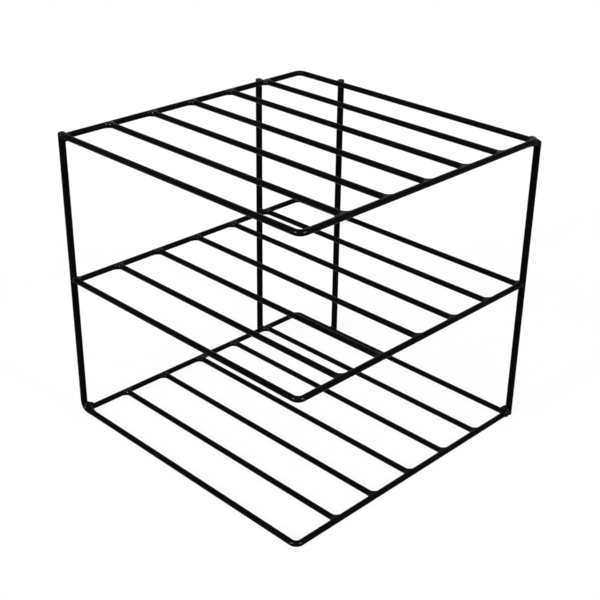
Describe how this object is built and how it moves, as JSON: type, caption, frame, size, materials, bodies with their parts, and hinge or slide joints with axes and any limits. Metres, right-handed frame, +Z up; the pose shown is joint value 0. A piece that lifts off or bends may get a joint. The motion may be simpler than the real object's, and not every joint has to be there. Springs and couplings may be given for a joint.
{
  "type": "kitchen corner shelf",
  "caption": "Square corner rack of welded, black powder-coated round wire, with stacked open shelves for plates, posts along the wall sides and an open rounded front corner.",
  "frame": {"origin": "centre of the rack's plan, on the surface that it stands on", "axes": "+Z up; the walls of the corner lie on the -X and +Y sides, and the open front corner points to +X -Y; the cross wires run along X"},
  "size_m": [0.252, 0.252, 0.2379],
  "materials": {
    "coated_wire": "satin black powder coat over steel wire"
  },
  "bodies": {
    "root": {"left_post": "coated_wire", "right_post": "coated_wire", "back_post_left": "coated_wire", "back_post_right": "coated_wire", "bottom_front_wire": "coated_wire", "middle_front_wire": "coated_wire", "top_front_wire": "coated_wire", "bottom_back_wire": "coated_wire", "middle_back_wire": "coated_wire", "top_back_wire": "coated_wire", "bottom_cross_wire_1": "coated_wire", "bottom_cross_wire_2": "coated_wire", "bottom_cross_wire_3": "coated_wire", "bottom_cross_wire_4": "coated_wire", "bottom_cross_wire_5": "coated_wire", "middle_cross_wire_1": "coated_wire", "middle_cross_wire_2": "coated_wire", "middle_cross_wire_3": "coated_wire", "middle_cross_wire_4": "coated_wire", "middle_cross_wire_5": "coated_wire", "top_cross_wire_1": "coated_wire", "top_cross_wire_2": "coated_wire", "top_cross_wire_3": "coated_wire", "top_cross_wire_4": "coated_wire", "top_cross_wire_5": "coated_wire"}
  },
  "joints": []
}
